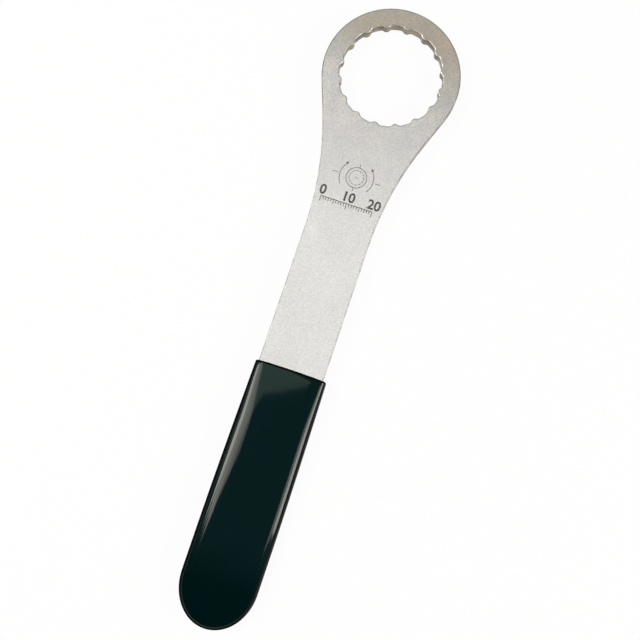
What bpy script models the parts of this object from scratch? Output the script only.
"""Bottom bracket spanner: one flat steel plate with a toothed ring, and a vinyl grip over its tang.

Units are metres and +Z is up. The tool lies flat with its handle along Y and the ring at the +Y end.
The origin is under the middle of its outer box, on the surface that the grip lies on.
Run it with: blender --background --python part.py
"""

import math

import bmesh
import bpy

# Socket ring: the bore across the roots, and the teeth that stand into it
SOCKET_DIAMETER = 0.0393
TOOTH_COUNT = 16
TOOTH_HEIGHT = 0.00093
TOOTH_TIP_RADIUS = 0.0018
TOOTH_ROOT_FILLET = 0.0013
RING_WALL = 0.00665

# Plate: its thickness, its rounded outer edges, the finer break round the socket, and the shank
PLATE_THICKNESS = 0.0046
OUTER_EDGE_RADIUS = 0.0004
SOCKET_EDGE_BREAK = 0.00015
SHANK_WIDTH = 0.02495
NECK_FLANK_ANGLE = math.radians(20.0)
NECK_BLEND_RADIUS = 0.125

# Handle: from the ring's centre to the far end of the grip, and the grip's own length
HANDLE_REACH = 0.2154
GRIP_LENGTH = 0.0982

# Grip sleeve: walls over the tang, thin at the mouth and full in the hand
GRIP_CLEARANCE = 0.0003
MOUTH_WALL = 0.00083
SIDE_WALL = 0.00163
FACE_WALL = 0.0014
END_WALL = 0.0029
SIDE_EASE_LENGTH = 0.065
FACE_EASE_LENGTH = 0.025
MOUTH_CORNER_RADIUS = 0.0006
MOUTH_LIP_HEIGHT = 0.0004
LIP_WALL_SHARE = 0.8
NOSE_LENGTH = 0.0172

# Grip section: |x/width|^SIDE_POWER + |z/height|^FACE_POWER = 1, squarer at the mouth than in the hand
MOUTH_SIDE_POWER = 12.0
MOUTH_FACE_POWER = 2.6
HAND_SIDE_POWER = 5.5
HAND_FACE_POWER = 2.0

# Fineness of the curved outlines
RING_STEP = math.radians(2.5)
NECK_STEPS = 12
OUTER_EDGE_STEPS = 3
TANG_END_STEPS = 28
TOOTH_TIP_STEPS = 6
TOOTH_FILLET_STEPS = 4
TOOTH_ROOT_STEPS = 4
SECTION_POINTS = 44
LIP_STEPS = 4
BODY_STATIONS = 16
NOSE_STEPS = 24

# A cutter runs this far past the face that it opens
MOUTH_CUTTER_MARGIN = 0.003
SOCKET_CUTTER_MARGIN = 0.0003

# Places that follow from the sizes above; in the plate's own frame the ring's centre is at 0, 0, 0
SOCKET_RADIUS = SOCKET_DIAMETER / 2
RING_RADIUS = SOCKET_RADIUS + RING_WALL
SHANK_HALF_WIDTH = SHANK_WIDTH / 2
PLATE_HALF_THICKNESS = PLATE_THICKNESS / 2
CAVITY_HALF_WIDTH = SHANK_HALF_WIDTH + GRIP_CLEARANCE
CAVITY_HALF_HEIGHT = PLATE_HALF_THICKNESS + GRIP_CLEARANCE
GRIP_END_Y = -HANDLE_REACH
GRIP_MOUTH_Y = GRIP_END_Y + GRIP_LENGTH
CAVITY_END_Y = GRIP_END_Y + END_WALL
TANG_CENTRE_Y = CAVITY_END_Y + CAVITY_HALF_WIDTH
GRIP_HALF_HEIGHT = CAVITY_HALF_HEIGHT + FACE_WALL
RING_CENTRE_Y = (HANDLE_REACH - RING_RADIUS) / 2
PLATE_LOCATION = (0.0, RING_CENTRE_Y, GRIP_HALF_HEIGHT)


def clear_scene():
    for obj in list(bpy.data.objects):
        bpy.data.objects.remove(obj, do_unlink=True)


def new_collection(name):
    collection = bpy.data.collections.new(name)
    bpy.context.scene.collection.children.link(collection)
    return collection


def new_material(name, color, metallic, roughness):
    material = bpy.data.materials.new(name)
    material.use_nodes = True
    shader = material.node_tree.nodes["Principled BSDF"]
    shader.inputs["Base Color"].default_value = (*color, 1.0)
    shader.inputs["Metallic"].default_value = metallic
    shader.inputs["Roughness"].default_value = roughness
    return material


def arc(centre, radius, start, end, steps):
    """Points on a circle from one angle to another, both ends included."""
    angles = [start + (end - start) * i / steps for i in range(steps + 1)]
    return [(centre[0] + radius * math.cos(a), centre[1] + radius * math.sin(a)) for a in angles]


def without_repeats(points):
    """The closed outline without points that fall on the one before them."""
    return [p for i, p in enumerate(points) if math.dist(p, points[i - 1]) > 1e-7]


def right_neck():
    """The right flank from the ring to the shank: a straight line tangent to the ring, then one long arc."""
    tangent_x = RING_RADIUS * math.cos(NECK_FLANK_ANGLE)
    tangent_y = -RING_RADIUS * math.sin(NECK_FLANK_ANGLE)
    rise = 1 - math.cos(NECK_FLANK_ANGLE)
    radius = min(NECK_BLEND_RADIUS, (tangent_x - SHANK_HALF_WIDTH) / rise)
    arc_top_y = tangent_y - (tangent_x - SHANK_HALF_WIDTH - radius * rise) / math.tan(NECK_FLANK_ANGLE)
    centre = (SHANK_HALF_WIDTH + radius, arc_top_y - radius * math.sin(NECK_FLANK_ANGLE))
    return arc(centre, radius, math.pi - NECK_FLANK_ANGLE, math.pi, NECK_STEPS)


def spanner_outline():
    """Counter-clockwise: round the ring, down the left flank, round the tang's end and up the right flank."""
    sweep = math.pi + 2 * NECK_FLANK_ANGLE
    ring_steps = round(sweep / RING_STEP)
    ring = arc((0, 0), RING_RADIUS, -NECK_FLANK_ANGLE, math.pi + NECK_FLANK_ANGLE, ring_steps)
    neck = right_neck()
    left = [(-x, y) for x, y in neck]
    tang_end = arc((0, TANG_CENTRE_Y), SHANK_HALF_WIDTH, math.pi, 2 * math.pi, TANG_END_STEPS)
    return without_repeats(ring + left + tang_end + neck[::-1])


def tooth_points(middle, growth):
    """One tooth about the angle middle: a root fillet, the round tip and the other fillet.

    Growth moves the whole outline that far into the metal: the tip's arc shrinks and the fillets widen.
    """
    tip_distance = SOCKET_RADIUS - TOOTH_HEIGHT + TOOTH_TIP_RADIUS
    fillet_distance = SOCKET_RADIUS - TOOTH_ROOT_FILLET
    reach = TOOTH_TIP_RADIUS + TOOTH_ROOT_FILLET
    squares = tip_distance**2 + fillet_distance**2 - reach**2
    half_angle = math.acos(squares / (2 * tip_distance * fillet_distance))
    # The line between the two arcs' centres leans this much from the tooth's own axis
    across = fillet_distance * math.sin(half_angle)
    along = tip_distance - fillet_distance * math.cos(half_angle)
    lean = math.atan2(across, along)
    tip_radius, fillet_radius = TOOTH_TIP_RADIUS - growth, TOOTH_ROOT_FILLET + growth

    def at(distance, angle):
        return (distance * math.cos(middle + angle), distance * math.sin(middle + angle))

    first_centre, last_centre = at(fillet_distance, -half_angle), at(fillet_distance, half_angle)
    start = middle - half_angle
    first = arc(first_centre, fillet_radius, start, middle + lean, TOOTH_FILLET_STEPS)
    tip_start, tip_end = middle + math.pi + lean, middle + math.pi - lean
    tip = arc(at(tip_distance, 0), tip_radius, tip_start, tip_end, TOOTH_TIP_STEPS)
    last = arc(last_centre, fillet_radius, middle - lean, middle + half_angle, TOOTH_FILLET_STEPS)
    return half_angle, first + tip[1:-1] + last


def socket_outline(growth):
    """The bore's outline: the teeth, with one tooth on the handle's axis, and the root arcs between them."""
    pitch = 2 * math.pi / TOOTH_COUNT
    points = []
    for i in range(TOOTH_COUNT):
        middle = -math.pi / 2 + i * pitch
        half_angle, tooth = tooth_points(middle, growth)
        root_start, root_end = middle + half_angle, middle + pitch - half_angle
        points += tooth + arc((0, 0), SOCKET_RADIUS + growth, root_start, root_end, TOOTH_ROOT_STEPS)
    return without_repeats(points)


def cavity_outline():
    """The room for the tang in the sleeve, from past the mouth to its round end."""
    top_y = GRIP_MOUTH_Y + MOUTH_CUTTER_MARGIN
    end = arc((0, TANG_CENTRE_Y), CAVITY_HALF_WIDTH, math.pi, 2 * math.pi, TANG_END_STEPS)
    return end + [(CAVITY_HALF_WIDTH, top_y), (-CAVITY_HALF_WIDTH, top_y)]


def new_plate(name, outline, thickness, edge_steps, collection):
    """A flat plate with rounded edges: a filled outline with half a thickness of extrusion each way."""
    curve = bpy.data.curves.new(name, "CURVE")
    curve.dimensions = "2D"
    curve.fill_mode = "BOTH"
    curve.extrude = thickness / 2 - OUTER_EDGE_RADIUS
    curve.bevel_depth = OUTER_EDGE_RADIUS
    curve.bevel_resolution = edge_steps - 1
    curve.offset = -OUTER_EDGE_RADIUS
    spline = curve.splines.new("POLY")
    spline.points.add(len(outline) - 1)
    for point, (x, y) in zip(spline.points, outline):
        point.co = (x, y, 0.0, 1.0)
    spline.use_cyclic_u = True
    drawn = bpy.data.objects.new(name + "_outline", curve)
    collection.objects.link(drawn)
    bpy.context.view_layer.update()
    graph = bpy.context.evaluated_depsgraph_get()
    mesh = bpy.data.meshes.new_from_object(drawn.evaluated_get(graph))
    bpy.data.objects.remove(drawn, do_unlink=True)
    weld(mesh)
    plate = bpy.data.objects.new(name, mesh)
    collection.objects.link(plate)
    return plate


def weld(mesh):
    """Joins a curve's loose caps to its sides."""
    solid = bmesh.new()
    solid.from_mesh(mesh)
    bmesh.ops.remove_doubles(solid, verts=solid.verts, dist=1e-6)
    bmesh.ops.recalc_face_normals(solid, faces=solid.faces)
    solid.to_mesh(mesh)
    solid.free()


def ease(distance, length):
    """0 at the mouth, rising smoothly to 1 at the given length."""
    return math.sin(math.pi / 2 * min(1.0, max(0.0, distance / length)))


def grip_station(y):
    """The sleeve's section at y: half width, half height, and the powers of its sides and faces."""
    from_mouth = GRIP_MOUTH_Y - y
    side, face = ease(from_mouth, SIDE_EASE_LENGTH), ease(from_mouth, FACE_EASE_LENGTH)
    half_width = CAVITY_HALF_WIDTH + MOUTH_WALL + (SIDE_WALL - MOUTH_WALL) * side
    half_height = CAVITY_HALF_HEIGHT + MOUTH_WALL + (FACE_WALL - MOUTH_WALL) * face
    side_power = MOUTH_SIDE_POWER + (HAND_SIDE_POWER - MOUTH_SIDE_POWER) * face
    face_power = MOUTH_FACE_POWER + (HAND_FACE_POWER - MOUTH_FACE_POWER) * face
    return half_width, half_height, side_power, face_power


def section_points(half_width, half_height, side_power, face_power):
    """One section of the sleeve, (x, z): up its right half, then down its left, with flat strips mid-face."""
    highest = math.cos(math.pi / SECTION_POINTS)
    points = []
    for i in range(SECTION_POINTS):
        turn = 2 * math.pi * (i + 0.5) / SECTION_POINTS - math.pi / 2
        c, s = math.cos(turn), math.sin(turn) / highest
        x = math.copysign(half_width * abs(c) ** (2 / side_power), c)
        z = math.copysign(half_height * abs(s) ** (2 / face_power), s)
        points.append((x, z))
    return points


def body_sections():
    """(y, section) from the mouth's rounded lip to where the nose begins."""
    sections = []
    corner = min(MOUTH_CORNER_RADIUS, LIP_WALL_SHARE * MOUTH_WALL)
    lip = min(MOUTH_LIP_HEIGHT, LIP_WALL_SHARE * MOUTH_WALL)
    for i in range(LIP_STEPS + 1):
        turn = math.pi / 2 * i / LIP_STEPS
        y = GRIP_MOUTH_Y - corner * (1 - math.cos(turn))
        half_width, half_height, *powers = grip_station(y)
        inset = 1 - math.sin(turn)
        sections.append((y, section_points(half_width - corner * inset, half_height - lip * inset, *powers)))
    body_start, nose_y = sections[-1][0], GRIP_END_Y + NOSE_LENGTH
    for i in range(1, BODY_STATIONS + 1):
        y = body_start + (nose_y - body_start) * i / BODY_STATIONS
        sections.append((y, section_points(*grip_station(y))))
    return sections


def skin(solid, near, far, closed):
    """Faces between two rows of vertices; a closed row also joins its last vertex to its first."""
    first = 0 if closed else 1
    for i in range(first, len(near)):
        solid.faces.new((near[i - 1], near[i], far[i], far[i - 1]))


def loft_grip(mesh):
    """Skins the body's sections, then swings the last half section round the nose, stretched to its length."""
    solid = bmesh.new()
    sections = body_sections()
    rings = [[solid.verts.new((x, y, z)) for x, z in section] for y, section in sections]
    for near, far in zip(rings, rings[1:]):
        skin(solid, near, far, closed=True)
    solid.faces.new(rings[0])
    nose_y, last = sections[-1]
    half = SECTION_POINTS // 2
    stretch = NOSE_LENGTH / grip_station(nose_y)[0]
    arcs = [rings[-1][:half]]
    for i in range(1, NOSE_STEPS):
        turn = math.pi * i / NOSE_STEPS
        c, s = math.cos(turn), math.sin(turn) * stretch
        arcs.append([solid.verts.new((x * c, nose_y - x * s, z)) for x, z in last[:half]])
    arcs.append(rings[-1][half:][::-1])
    for near, far in zip(arcs, arcs[1:]):
        skin(solid, near, far, closed=False)
    solid.faces.new([swung[0] for swung in arcs])
    solid.faces.new([swung[-1] for swung in arcs])
    bmesh.ops.recalc_face_normals(solid, faces=solid.faces)
    solid.to_mesh(mesh)
    solid.free()


def loft_socket_bore(mesh):
    """The bore's cutter: straight through the plate, and growing at 45 degrees from just inside each face."""
    solid = bmesh.new()
    straight = PLATE_HALF_THICKNESS - SOCKET_EDGE_BREAK
    flared = PLATE_HALF_THICKNESS + SOCKET_CUTTER_MARGIN
    growth = flared - straight
    levels = [(-flared, growth), (-straight, 0.0), (straight, 0.0), (flared, growth)]
    rings = [[solid.verts.new((x, y, z)) for x, y in socket_outline(grown)] for z, grown in levels]
    for near, far in zip(rings, rings[1:]):
        skin(solid, near, far, closed=True)
    solid.faces.new(rings[0])
    solid.faces.new(rings[-1])
    bmesh.ops.recalc_face_normals(solid, faces=solid.faces)
    solid.to_mesh(mesh)
    solid.free()


def place(obj, parent, material):
    obj.parent = parent
    obj.location = PLATE_LOCATION
    obj.data.materials.clear()
    obj.data.materials.append(material)
    obj.data.shade_smooth()
    obj.data.set_sharp_from_angle(angle=math.radians(35))


def cut(obj, cutter):
    """Takes the cutter's shape out of the object, and keeps the cutter itself out of sight."""
    cutter.hide_render = True
    cutter.display_type = "WIRE"
    modifier = obj.modifiers.new(cutter.name, "BOOLEAN")
    modifier.operation = "DIFFERENCE"
    modifier.object = cutter


def build_spanner(parent, collection, cutters):
    steel = new_material("blasted_steel", (0.62, 0.61, 0.58), 1.0, 0.42)
    spanner = new_plate("ring_spanner", spanner_outline(), PLATE_THICKNESS, OUTER_EDGE_STEPS, collection)
    place(spanner, parent, steel)
    mesh = bpy.data.meshes.new("socket_bore")
    loft_socket_bore(mesh)
    bore = bpy.data.objects.new("socket_bore", mesh)
    cutters.objects.link(bore)
    place(bore, parent, steel)
    cut(spanner, bore)


def build_grip(parent, collection, cutters):
    vinyl = new_material("gloss_vinyl", (0.003, 0.012, 0.012), 0.0, 0.18)
    mesh = bpy.data.meshes.new("grip_sleeve")
    loft_grip(mesh)
    grip = bpy.data.objects.new("grip_sleeve", mesh)
    collection.objects.link(grip)
    place(grip, parent, vinyl)
    cavity = new_plate("tang_cavity", cavity_outline(), 2 * CAVITY_HALF_HEIGHT, 1, cutters)
    place(cavity, parent, vinyl)
    cut(grip, cavity)


def main():
    clear_scene()
    parts = new_collection("bottom_bracket_tool")
    cutters = new_collection("cutters")
    tool = bpy.data.objects.new("tool_frame", None)
    parts.objects.link(tool)
    build_spanner(tool, parts, cutters)
    build_grip(tool, parts, cutters)
    bpy.context.view_layer.update()


main()
